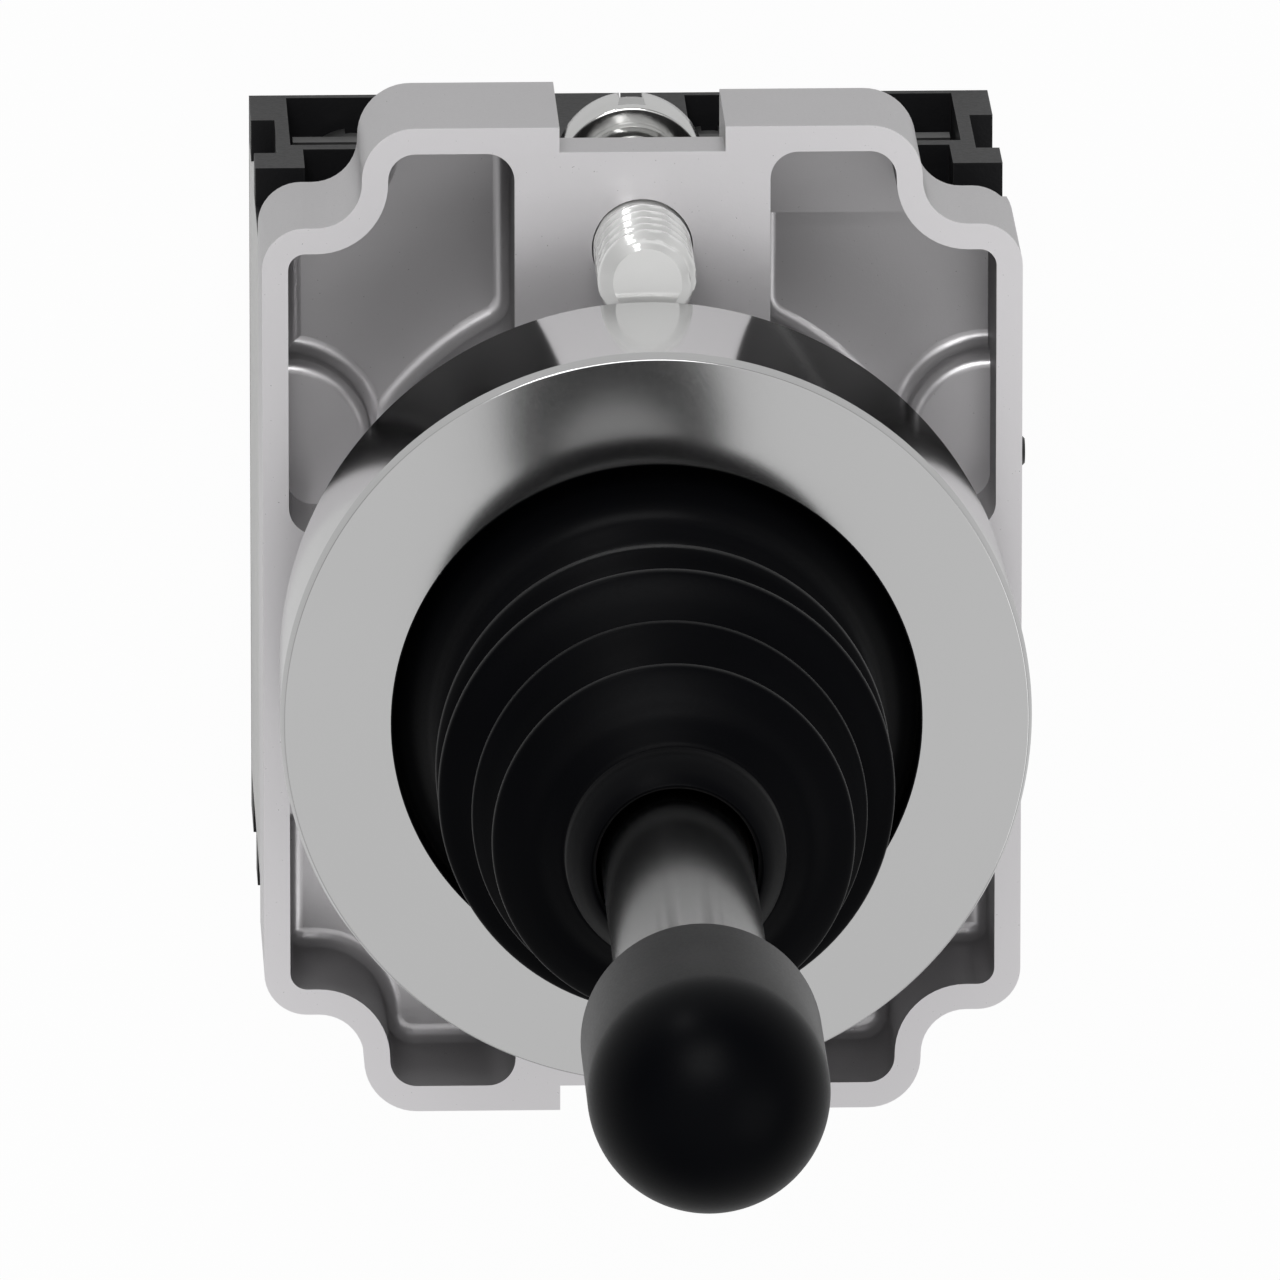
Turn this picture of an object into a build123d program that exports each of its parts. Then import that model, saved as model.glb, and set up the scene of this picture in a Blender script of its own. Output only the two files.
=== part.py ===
from build123d import *
import os
from math import cos, radians, sin

# Four-way panel joystick switch, 22 mm fixing, spring return.
# Millimetres. Z runs along the lever, towards the hand. X is right and Y is up when the
# switch is looked at from the front of its panel. The part stands on the rear of its
# contact blocks, and the origin is the middle of that rear face.

os.makedirs("parts", exist_ok=True)

ON_BASE = (Align.CENTER, Align.CENTER, Align.MIN)
TINY = 0.01

# Contact blocks, two side by side
block_side_inset = 0.05
block_gap = 0.16
block_height = 29.6
block_depth = 13.1
nose_step = 1.5
nose_depth = 7.7

# Mounting collar, a die-cast frame behind the panel
collar_width = 30.0
collar_height = 40.0
collar_depth = 8.2
collar_wall = 1.03
corner_step_x = 3.95
corner_step_y = 4.0
ear_corner_r = 2.1
step_corner_r = 1.8
shoulder_corner_r = 1.7
rib_half_width = 5.04
side_rib_half_width = 3.6
hub_wall = 0.9
pocket_depth = 7.2
pocket_corner_r = 1.1
corner_share = 0.45
boss_round = 0.5
floor_round = 0.66
pad_floor_round = 0.5
boss_depth = 5.1
boss_r = 3.4
boss_centre_y = 6.04
ear_cutback = 1.5
pad_height = 4.8
notch_half_width = 3.27
notch_depth = 1.0
screw_web = 2.6
screw_channel_reach = 2.5

# Head: the panel takes the space that the barrel leaves between the collar and the bezel
barrel_r = 11.0
collar_fit = 0.05
barrel_bore_r = 9.4
barrel_rear_gap = 0.5
barrel_length = 19.7
barrel_flange_r = 13.0
barrel_flange = 1.1
gasket = 0.54
gasket_proud = 0.2
bezel_rear_r = 14.5
bezel_front_r = 14.65
bezel_height = 9.84
bezel_chamfer = 0.38
bezel_mouth_r = 10.27
bezel_lip = 2.1
bezel_fit = 0.05

# Lever, knob and universal joint
pivot_height = 17.2
lever_r = 2.9
lever_bottom_drop = 5.1
knob_r = 4.5
knob_gap = 25.3
knob_side = 7.5
knob_grip = 5.4
knob_rim_chamfer = 0.15
hub_r = 4.0
hub_rise = 3.0
ring_inner_r = 4.9
ring_outer_r = 6.8
ring_height = 2.6
pin_r = 0.8
pin_clearance = 0.04
pin_setback = 0.2
base_pin_reach = 0.3
clip_r = 4.2
clip_thickness = 0.7
clip_groove = 0.5
clip_mouth = 3.8

# Cross that works the pushers
arm_radius = 7.0
arm_half_width = 0.9
arm_drop = 3.6
arm_thickness = 1.4
nub_drop = 5.0
nub_r = 0.9
tilt_limit = 15.0

# Pushers, one for each way the lever tilts
pusher_gap = 0.12
pusher_head_r = 1.9
pusher_head = 1.0
pusher_r = 1.0
pusher_clearance = 0.05
pusher_arm = 1.3
pusher_stroke = arm_radius * radians(tilt_limit)
stroke_spare = 0.27
guide_thickness = 2.7
guide_edge = 0.45
guide_clip = 0.9
guide_clip_depth = 0.4
guide_clip_width = 0.6
guide_clip_mouth = 1.8

# Contacts inside the blocks
contact_x = 7.2
contact_y = 3.5
terminal_pitch = 7.12
plunger_r = 1.25
plunger_clearance = 0.05
plunger_neck_r = 0.8
plunger_neck = 1.45
plunger_top_drop = 2.8
cover_thickness = 1.2
cover_margin = 0.6
cover_clearance = 0.05
chamber_end_clearance = 0.1
chamber_half_width = 1.6
chamber_top = 14.0
bridge_width = 2.0
bridge_thickness = 0.4
tip_r = 0.8
tip_height = 0.4
contact_gap = 0.12
spring_wire = 0.4
spring_r = 1.25
spring_turns = 5

# Terminals
wire_pocket_width = 5.4
wire_pocket_height = 6.4
wire_pocket_depth = 9.0
block_rear_wall = 0.5
driver_hole_r = 1.6
middle_web = 0.8
middle_web_reach = 2.65
strip_base = 6.2
strip_thickness = 1.0
strip_width = 2.4
strip_pad_width = 5.0
strip_end_inset = 0.9
strip_inner_y = 2.6
fixed_tip = 0.5
terminal_screw_inset = 3.5
terminal_head_r = 2.4
terminal_head = 2.0
terminal_head_base = 1.2
terminal_shank_r = 1.5
terminal_slot = 0.7
terminal_slot_depth = 0.9
clamp_size = 5.0
clamp_thickness = 1.0
clamp_lip = 0.8
probe_width = 4.42
probe_depth = 3.3
probe_reach_y = 4.2
side_notch = 0.94
side_notch_rear = 4.5
side_notch_front = 10.4
side_notch_reach = 3.3

# Clamp screw, latch pin and label
screw_inset = 4.9
screw_r = 1.95
screw_hole_r = 2.0
screw_head_r = 3.0
screw_head = 3.0
screw_head_base = 14.1
screw_tip_gap = 0.66
screw_tip_chamfer = 0.6
screw_slot = 0.9
screw_slot_depth = 1.1
screw_relief = 0.4
latch_pin_r = 0.75
latch_pin_y = 3.55
latch_pin_z = 15.6
latch_pin_depth = 2.4
latch_pin_proud = 0.8
latch_pin_chamfer = 0.25
label_height = 26.2
label_depth = 19.4
label_thickness = 0.15
label_rear = 0.7

# Rubber boot
boot_wall_base_r = 8.9
boot_flange = 1.0
boot_ring = 1.3
boot_ring_bore_r = 9.45
boot_neck_clearance = 0.12
ridge_round = 0.25
valley_round = 0.45

# Levels worked out from the sizes above
nose_front = block_depth + nose_depth
collar_rear = nose_front
collar_front = collar_rear + collar_depth
barrel_rear = collar_rear + barrel_rear_gap
barrel_front = barrel_rear + barrel_length
lip_rear = barrel_front + boot_ring + boot_flange
bezel_front = lip_rear + bezel_lip
bezel_rear = bezel_front - bezel_height
flange_rear = bezel_rear - gasket_proud + gasket
pivot_z = collar_rear + pivot_height
hub_outer_r = barrel_r + collar_fit + hub_wall
block_pair_width = collar_width - 2 * block_side_inset
block_width = (block_pair_width - block_gap) / 2
block_centre_x = (block_pair_width + block_gap) / 4
block_side = block_pair_width / 2
inner_wall_x = collar_width / 2 - collar_wall
side_gap = inner_wall_x - (hub_outer_r**2 - side_rib_half_width**2) ** 0.5
side_corner_r = min(pocket_corner_r, side_gap * corner_share)
pad_low_y = collar_height / 2 - pad_height
step_room = min(corner_step_y - ear_corner_r, corner_step_x - shoulder_corner_r) - TINY
step_round = min(step_corner_r, step_room)
screw_y = collar_height / 2 - screw_inset
screw_channel_y = screw_y - screw_channel_reach
nose_height = block_height - 2 * nose_step
wire_pocket_floor_y = block_height / 2 - wire_pocket_height
terminal_screw_y = block_height / 2 - terminal_screw_inset

nub_z = pivot_z - nub_drop
pusher_top = nub_z - nub_r - pusher_gap
pusher_head_base = pusher_top - pusher_head
pusher_arm_base = nose_front + stroke_spare + pusher_stroke
guide_base = pusher_arm_base + pusher_arm + pusher_stroke + stroke_spare
guide_top = guide_base + guide_thickness
plunger_top = nose_front - plunger_top_drop
fixed_tip_top = strip_base + strip_thickness + fixed_tip
bridge_base = fixed_tip_top + pusher_stroke + contact_gap + tip_height
bridge_top = bridge_base + bridge_thickness
bridge_length = terminal_pitch + 2 * tip_r
chamber_half_length = (terminal_pitch + strip_width) / 2 + chamber_end_clearance

# Each pusher: its name, the way its head lies, and the contact that it works
pushers = {
    "right": (0, (contact_x, -contact_y)),
    "up": (90, (contact_x, contact_y)),
    "left": (180, (-contact_x, contact_y)),
    "down": (270, (-contact_x, -contact_y)),
}
contact_places = [foot for _, foot in pushers.values()]
terminal_columns = [contact_x - terminal_pitch / 2, contact_x + terminal_pitch / 2]
terminal_places = [
    (side * column, end) for side in (-1, 1) for column in terminal_columns for end in (-1, 1)
]


def near(value, level):
    """True where two lengths are the same."""
    return abs(value - level) < TINY


def flat_at(edge, z):
    """True for an edge that lies at one height."""
    return all(near(v.Z, z) for v in edge.vertices())


def runs_inside(edge):
    """True for an edge of a pocket along a rib, along the hub or in the corner between them."""
    if edge.geom_type == GeomType.LINE:
        return near(abs(edge.center().X), rib_half_width)
    centre = edge.arc_center
    from_hub = (centre.X**2 + centre.Y**2) ** 0.5 - hub_outer_r
    in_corner = near(edge.radius, pocket_corner_r) and near(from_hub, pocket_corner_r)
    return in_corner or near(edge.radius, hub_outer_r)


# Mounting collar
with BuildPart() as mounting_collar:
    with BuildSketch(Plane.XY.offset(collar_rear)) as collar_plan:
        Rectangle(collar_width, collar_height)
        with GridLocations(collar_width - corner_step_x, collar_height - corner_step_y, 2, 2):
            Rectangle(corner_step_x, corner_step_y, mode=Mode.SUBTRACT)
        ears = collar_plan.vertices().filter_by(lambda v: near(abs(v.Y), collar_height / 2))
        fillet(ears, ear_corner_r)
        shoulders = collar_plan.vertices().filter_by(lambda v: near(abs(v.X), collar_width / 2))
        fillet(shoulders, shoulder_corner_r)
        steps = collar_plan.vertices().filter_by(
            lambda v: near(abs(v.X), collar_width / 2 - corner_step_x)
            and near(abs(v.Y), collar_height / 2 - corner_step_y)
        )
        fillet(steps, step_round)
    extrude(amount=collar_depth)
    # The pockets in the front, at three levels: boss tops, the pad in one ear, and the floor
    with BuildSketch(Plane.XY.offset(collar_front)) as pocket_plan:
        add(collar_plan.sketch_local)
        offset(amount=-collar_wall)
        Rectangle(2 * rib_half_width, collar_height, mode=Mode.SUBTRACT)
        Rectangle(collar_width, 2 * side_rib_half_width, mode=Mode.SUBTRACT)
        Circle(hub_outer_r, mode=Mode.SUBTRACT)
        rib_corners = pocket_plan.vertices().filter_by(lambda v: near(abs(v.X), rib_half_width))
        fillet(rib_corners, pocket_corner_r)
        side_corners = pocket_plan.vertices().filter_by(
            lambda v: near(abs(v.Y), side_rib_half_width)
        )
        fillet(side_corners, side_corner_r)
    extrude(amount=-boss_depth, mode=Mode.SUBTRACT)
    with BuildSketch(Plane.XY.offset(collar_front)) as deep_plan:
        add(pocket_plan.sketch_local)
        with GridLocations(2 * inner_wall_x, 2 * boss_centre_y, 2, 2):
            Circle(boss_r, mode=Mode.SUBTRACT)
        Rectangle(2 * inner_wall_x, 2 * boss_centre_y, mode=Mode.SUBTRACT)
    extrude(amount=ear_cutback - pocket_depth, mode=Mode.SUBTRACT)
    with BuildSketch(Plane.XY.offset(collar_front)):
        add(deep_plan.sketch_local)
        with Locations((collar_width / 4, pad_low_y)):
            Rectangle(
                collar_width / 2,
                collar_height,
                align=(Align.CENTER, Align.MIN),
                mode=Mode.SUBTRACT,
            )
    extrude(amount=-pocket_depth, mode=Mode.SUBTRACT)
    # The right ear is cut back at the rear, under its pad
    with BuildSketch(Plane.XY.offset(collar_rear)):
        with Locations((notch_half_width, pad_low_y)):
            Rectangle(collar_width / 2, collar_height, align=(Align.MIN, Align.MIN))
    extrude(amount=ear_cutback, mode=Mode.SUBTRACT)
    # Notches in the top and bottom edges, the channel for the screw, and the bores
    with BuildSketch(Plane.XY.offset(collar_rear)):
        with GridLocations(0, collar_height, 1, 2):
            Rectangle(2 * notch_half_width, 2 * notch_depth)
    extrude(amount=collar_depth, mode=Mode.SUBTRACT)
    with BuildSketch(Plane.XY.offset(collar_rear)):
        with Locations((0, screw_channel_y)):
            Rectangle(2 * notch_half_width, collar_height, align=(Align.CENTER, Align.MIN))
    extrude(amount=collar_depth - screw_web, mode=Mode.SUBTRACT)
    with Locations((0, 0, collar_front)):
        Hole(barrel_r + collar_fit)
    with Locations((0, screw_y, collar_front)):
        Hole(screw_hole_r)
    # Cast rounds on the boss tops, and where the floor meets the ribs and the hub
    boss_edges = mounting_collar.edges().filter_by(
        lambda e: flat_at(e, collar_front - boss_depth)
        and e.geom_type == GeomType.CIRCLE
        and near(e.radius, boss_r)
    )
    fillet(boss_edges, boss_round)
    for in_pad_pocket, floor_radius in ((False, floor_round), (True, pad_floor_round)):
        floor_edges = mounting_collar.edges().filter_by(
            lambda e: flat_at(e, collar_front - pocket_depth)
            and runs_inside(e)
            and (e.center().X > 0 and e.center().Y > 0) == in_pad_pocket
        )
        fillet(floor_edges, floor_radius)

mounting_collar.part.label = "mounting_collar"
export_step(mounting_collar.part, "parts/mounting_collar.step")

# Clamp screw: its head is at the rear and its tip presses on the back of the panel
with BuildPart() as clamp_screw:
    with Locations((0, screw_y, screw_head_base)):
        Cylinder(screw_head_r, screw_head, align=ON_BASE)
        Cylinder(screw_r, bezel_rear - screw_tip_gap - screw_head_base, align=ON_BASE)
    tip_edges = clamp_screw.edges().filter_by(GeomType.CIRCLE).sort_by(Axis.Z)[-1]
    chamfer(tip_edges, screw_tip_chamfer)
    with Locations((0, screw_y, screw_head_base)):
        Box(screw_slot, 2 * screw_head_r, screw_slot_depth, align=ON_BASE, mode=Mode.SUBTRACT)

clamp_screw.part.label = "clamp_screw"
export_step(clamp_screw.part, "parts/clamp_screw.step")

# Head barrel: a tube through the panel hole, with a flange that the bezel covers
guide_bore_r = barrel_bore_r + guide_edge
with BuildPart() as head_barrel:
    with Locations((0, 0, barrel_rear)):
        Cylinder(barrel_r, barrel_length, align=ON_BASE)
    with Locations((0, 0, flange_rear)):
        Cylinder(barrel_flange_r, barrel_flange, align=ON_BASE)
    with Locations((0, 0, barrel_rear)):
        Cylinder(barrel_bore_r, barrel_length, align=ON_BASE, mode=Mode.SUBTRACT)
        Cylinder(guide_bore_r, guide_top - barrel_rear, align=ON_BASE, mode=Mode.SUBTRACT)
    with Locations((0, 0, guide_base - guide_clip)):
        Cylinder(guide_bore_r + guide_clip_depth, guide_clip, align=ON_BASE, mode=Mode.SUBTRACT)
    with BuildSketch(Plane.YZ):
        with Locations((0, pivot_z)):
            Circle(pin_r)
    extrude(amount=barrel_r, both=True, mode=Mode.SUBTRACT)

head_barrel.part.label = "head_barrel"
export_step(head_barrel.part, "parts/head_barrel.step")

# Bezel: the chromed ring in front of the panel
with BuildPart() as bezel:
    with BuildSketch(Plane.XZ):
        with BuildLine():
            Polyline(
                (barrel_flange_r + bezel_fit, bezel_rear),
                (bezel_rear_r, bezel_rear),
                (bezel_front_r, bezel_front - bezel_chamfer),
                (bezel_front_r - bezel_chamfer, bezel_front),
                (bezel_mouth_r, bezel_front),
                (bezel_mouth_r, lip_rear),
                (barrel_r + bezel_fit, lip_rear),
                (barrel_r + bezel_fit, flange_rear + barrel_flange),
                (barrel_flange_r + bezel_fit, flange_rear + barrel_flange),
                close=True,
            )
        make_face()
    revolve(axis=Axis.Z)

bezel.part.label = "bezel"
export_step(bezel.part, "parts/bezel.step")

# Panel gasket, under the flange and a little proud of the bezel
with BuildPart() as panel_gasket:
    with Locations((0, 0, flange_rear - gasket)):
        Cylinder(barrel_flange_r, gasket, align=ON_BASE)
        Cylinder(barrel_r, gasket, align=ON_BASE, mode=Mode.SUBTRACT)

panel_gasket.part.label = "panel_gasket"
export_step(panel_gasket.part, "parts/panel_gasket.step")

# Ring that holds the boot's edge against the lip of the bezel
with BuildPart() as boot_clamp_ring:
    with Locations((0, 0, barrel_front)):
        Cylinder(barrel_r, boot_ring, align=ON_BASE)
        Cylinder(boot_ring_bore_r, boot_ring, align=ON_BASE, mode=Mode.SUBTRACT)

boot_clamp_ring.part.label = "boot_clamp_ring"
export_step(boot_clamp_ring.part, "parts/boot_clamp_ring.step")

# Rubber boot: ridge and valley heights are measured from the front of the bezel
boot_neck_r = lever_r + boot_neck_clearance
boot_valleys = [(-0.3, 7.9), (4.4, 7.7), (8.7, 7.6), (12.2, 6.7), (16.0, 5.7)]
boot_ridges = [(2.0, 8.6), (6.8, 8.8), (10.5, 8.8), (13.9, 7.6), (18.0, 6.95)]
boot_neck = [(20.6, 4.3), (21.6, 4.5), (22.9, 3.9)]
boot_inside = [(-3.1, 8.0), (-1.2, 7.0), (9.0, 6.8), (15.4, 4.9), (20.2, boot_neck_r)]
with BuildPart() as boot:
    with BuildSketch(Plane.XZ) as boot_profile:
        with BuildLine():
            flange_bottom = barrel_front + boot_ring
            folds = [p for pair in zip(boot_valleys, boot_ridges) for p in pair]
            outside = [(r, bezel_front + z) for z, r in folds + boot_neck]
            inside = [(r, bezel_front + z) for z, r in reversed(boot_inside)]
            Polyline(
                (barrel_r, flange_bottom),
                (barrel_r, flange_bottom + boot_flange),
                (boot_wall_base_r, flange_bottom + boot_flange),
                *outside,
                (boot_neck_r, bezel_front + boot_neck[-1][0]),
                *inside,
                close=True,
            )
        make_face()
        ridge_points = [(r, bezel_front + z) for z, r in boot_ridges]
        valley_points = [(r, bezel_front + z) for z, r in boot_valleys]
        ridges = boot_profile.vertices().filter_by(
            lambda v: any(near(v.X, r) and near(v.Y, z) for r, z in ridge_points)
        )
        fillet(ridges, ridge_round)
        valleys = boot_profile.vertices().filter_by(
            lambda v: any(near(v.X, r) and near(v.Y, z) for r, z in valley_points)
        )
        fillet(valleys, valley_round)
    revolve(axis=Axis.Z)

boot.part.label = "boot"
export_step(boot.part, "parts/boot.step")

# Base pins: two short pins in the barrel that carry the gimbal ring
with BuildPart() as gimbal_pins:
    for side in (-1, 1):
        with BuildSketch(Plane.YZ.offset(side * (ring_inner_r + base_pin_reach))):
            with Locations((0, pivot_z)):
                Circle(pin_r)
        extrude(amount=side * (barrel_r - pin_setback - ring_inner_r - base_pin_reach))

gimbal_pins.part.label = "gimbal_pins"
export_step(gimbal_pins.part, "parts/gimbal_pins.step")

# Gimbal ring: turns on the base pins along X and carries the lever pin along Y
with BuildPart() as gimbal_ring:
    with Locations((0, 0, pivot_z)):
        Cylinder(ring_outer_r, ring_height)
        Cylinder(ring_inner_r, ring_height, mode=Mode.SUBTRACT)
    for plane in (Plane.YZ, Plane.XZ):
        with BuildSketch(plane):
            with Locations((0, pivot_z)):
                Circle(pin_r + pin_clearance)
        extrude(amount=ring_outer_r, both=True, mode=Mode.SUBTRACT)

gimbal_ring.part.label = "gimbal_ring"
export_step(gimbal_ring.part, "parts/gimbal_ring.step")

# Lever shaft, from the cross up into the knob
neck_top = bezel_front + boot_neck[-1][0]
knob_rear = neck_top + knob_gap
shaft_bottom = pivot_z - lever_bottom_drop
clip_base = pivot_z + hub_rise
with BuildPart() as lever_shaft:
    with Locations((0, 0, shaft_bottom)):
        Cylinder(lever_r, knob_rear + knob_grip - shaft_bottom, align=ON_BASE)
    chamfer(lever_shaft.edges().filter_by(GeomType.CIRCLE).sort_by(Axis.Z)[-1], clip_groove)
    with Locations((0, 0, clip_base)):
        Cylinder(lever_r, clip_thickness, align=ON_BASE, mode=Mode.SUBTRACT)
        Cylinder(lever_r - clip_groove, clip_thickness, align=ON_BASE)
    with BuildSketch(Plane.XZ):
        with Locations((0, pivot_z)):
            Circle(pin_r)
    extrude(amount=lever_r, both=True, mode=Mode.SUBTRACT)

lever_shaft.part.label = "lever_shaft"
export_step(lever_shaft.part, "parts/lever_shaft.step")

# Lever pin: pressed through the hub and the shaft, it turns in the gimbal ring
with BuildPart() as lever_pin:
    with BuildSketch(Plane.XZ):
        with Locations((0, pivot_z)):
            Circle(pin_r)
    extrude(amount=ring_outer_r - pin_setback, both=True)

lever_pin.part.label = "lever_pin"
export_step(lever_pin.part, "parts/lever_pin.step")

# Retaining clip on the shaft, above the hub
with BuildPart() as retaining_clip:
    with Locations((0, 0, clip_base)):
        Cylinder(clip_r, clip_thickness, align=ON_BASE)
        Cylinder(lever_r - clip_groove, clip_thickness, align=ON_BASE, mode=Mode.SUBTRACT)
    with BuildSketch(Plane.XY.offset(clip_base)):
        with Locations((0, -clip_r)):
            Rectangle(clip_mouth, 2 * clip_r)
    extrude(amount=clip_thickness, mode=Mode.SUBTRACT)

retaining_clip.part.label = "retaining_clip"
export_step(retaining_clip.part, "parts/retaining_clip.step")

# Knob: a short cylinder that ends in a dome
with BuildPart() as knob:
    with Locations((0, 0, knob_rear)):
        Cylinder(knob_r, knob_side, align=ON_BASE)
    chamfer(knob.edges().filter_by(GeomType.CIRCLE).sort_by(Axis.Z)[0], knob_rim_chamfer)
    with Locations((0, 0, knob_rear + knob_side)):
        Sphere(knob_r)
    with Locations((0, 0, knob_rear)):
        Cylinder(lever_r, knob_grip, align=ON_BASE, mode=Mode.SUBTRACT)

knob.part.label = "knob"
export_step(knob.part, "parts/knob.step")

# Actuator cross: a hub with four arms, each with a round nub over its pusher
arm_base = pivot_z - arm_drop - arm_thickness
with BuildPart() as actuator_cross:
    with Locations((0, 0, shaft_bottom)):
        Cylinder(hub_r, clip_base - shaft_bottom, align=ON_BASE)
    for turn, _ in pushers.values():
        reach = Vector(arm_radius, 0).rotate(Axis.Z, turn)
        with BuildSketch(Plane.XY.offset(arm_base)):
            SlotCenterPoint((reach.X / 2, reach.Y / 2), (reach.X, reach.Y), 2 * arm_half_width)
        extrude(amount=arm_thickness)
        with Locations((reach.X, reach.Y, nub_z)):
            Sphere(nub_r)
    with Locations((0, 0, shaft_bottom)):
        Cylinder(lever_r, clip_base - shaft_bottom, align=ON_BASE, mode=Mode.SUBTRACT)
    with BuildSketch(Plane.XZ):
        with Locations((0, pivot_z)):
            Circle(pin_r)
    extrude(amount=hub_r, both=True, mode=Mode.SUBTRACT)

actuator_cross.part.label = "actuator_cross"
export_step(actuator_cross.part, "parts/actuator_cross.step")

# Guide disc: closes the barrel and guides the pushers' stems
pusher_points = [
    (arm_radius * cos(radians(turn)), arm_radius * sin(radians(turn)))
    for turn, _ in pushers.values()
]
with BuildPart() as pusher_guide:
    with Locations((0, 0, guide_base)):
        Cylinder(guide_bore_r, guide_thickness, align=ON_BASE)
    with Locations(*[(x, y, guide_top) for x, y in pusher_points]):
        Hole(pusher_r + pusher_clearance)

pusher_guide.part.label = "pusher_guide"
export_step(pusher_guide.part, "parts/pusher_guide.step")

# Snap ring under the guide disc
with BuildPart() as guide_clip_ring:
    with Locations((0, 0, guide_base - guide_clip)):
        Cylinder(guide_bore_r + guide_clip_depth, guide_clip, align=ON_BASE)
        Cylinder(
            guide_bore_r - guide_clip_width, guide_clip, align=ON_BASE, mode=Mode.SUBTRACT
        )
    with BuildSketch(Plane.XY.offset(guide_base - guide_clip)):
        with Locations((0, -guide_bore_r)):
            Rectangle(guide_clip_mouth, 2 * (guide_clip_depth + guide_clip_width))
    extrude(amount=guide_clip, mode=Mode.SUBTRACT)

guide_clip_ring.part.label = "guide_clip_ring"
export_step(guide_clip_ring.part, "parts/guide_clip_ring.step")

# Pushers, plungers, contact bridges and contact springs, a set for each way
for way, (turn, foot) in pushers.items():
    head_x = arm_radius * cos(radians(turn))
    head_y = arm_radius * sin(radians(turn))
    with BuildPart() as pusher:
        with Locations((head_x, head_y, pusher_head_base)):
            Cylinder(pusher_head_r, pusher_head, align=ON_BASE)
        with Locations((head_x, head_y, pusher_arm_base)):
            Cylinder(pusher_r, pusher_head_base - pusher_arm_base, align=ON_BASE)
        with Locations((*foot, plunger_top)):
            Cylinder(pusher_r, pusher_arm_base + pusher_arm - plunger_top, align=ON_BASE)
        with BuildSketch(Plane.XY.offset(pusher_arm_base)):
            centre = ((head_x + foot[0]) / 2, (head_y + foot[1]) / 2)
            SlotCenterPoint(centre, foot, 2 * pusher_r)
        extrude(amount=pusher_arm)
    pusher.part.label = f"pusher_{way}"
    export_step(pusher.part, f"parts/pusher_{way}.step")

    with BuildPart() as plunger:
        with Locations((*foot, bridge_top)):
            Cylinder(plunger_r, plunger_top - bridge_top, align=ON_BASE)
        with Locations((*foot, bridge_top - plunger_neck)):
            Cylinder(plunger_neck_r, plunger_neck, align=ON_BASE)
    plunger.part.label = f"plunger_{way}"
    export_step(plunger.part, f"parts/plunger_{way}.step")

    with BuildPart() as bridge:
        with Locations((*foot, bridge_base)):
            Box(bridge_length, bridge_width, bridge_thickness, align=ON_BASE)
        for offset_x in (-terminal_pitch / 2, terminal_pitch / 2):
            with Locations((foot[0] + offset_x, foot[1], bridge_base - tip_height)):
                Cylinder(tip_r, tip_height, align=ON_BASE)
        with Locations((*foot, bridge_top)):
            Hole(plunger_neck_r)
    bridge.part.label = f"bridge_{way}"
    export_step(bridge.part, f"parts/bridge_{way}.step")

    spring_bottom = cover_thickness + spring_wire / 2
    spring_length = bridge_base - cover_thickness - spring_wire
    with BuildPart() as spring:
        with BuildLine():
            coil = Helix(
                spring_length / spring_turns,
                spring_length,
                spring_r,
                center=(*foot, spring_bottom),
            )
        with BuildSketch(Plane(origin=coil @ 0, z_dir=coil % 0)):
            Rectangle(spring_wire, spring_wire)
        sweep(is_frenet=True)
    spring.part.label = f"contact_spring_{way}"
    export_step(spring.part, f"parts/contact_spring_{way}.step")

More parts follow.
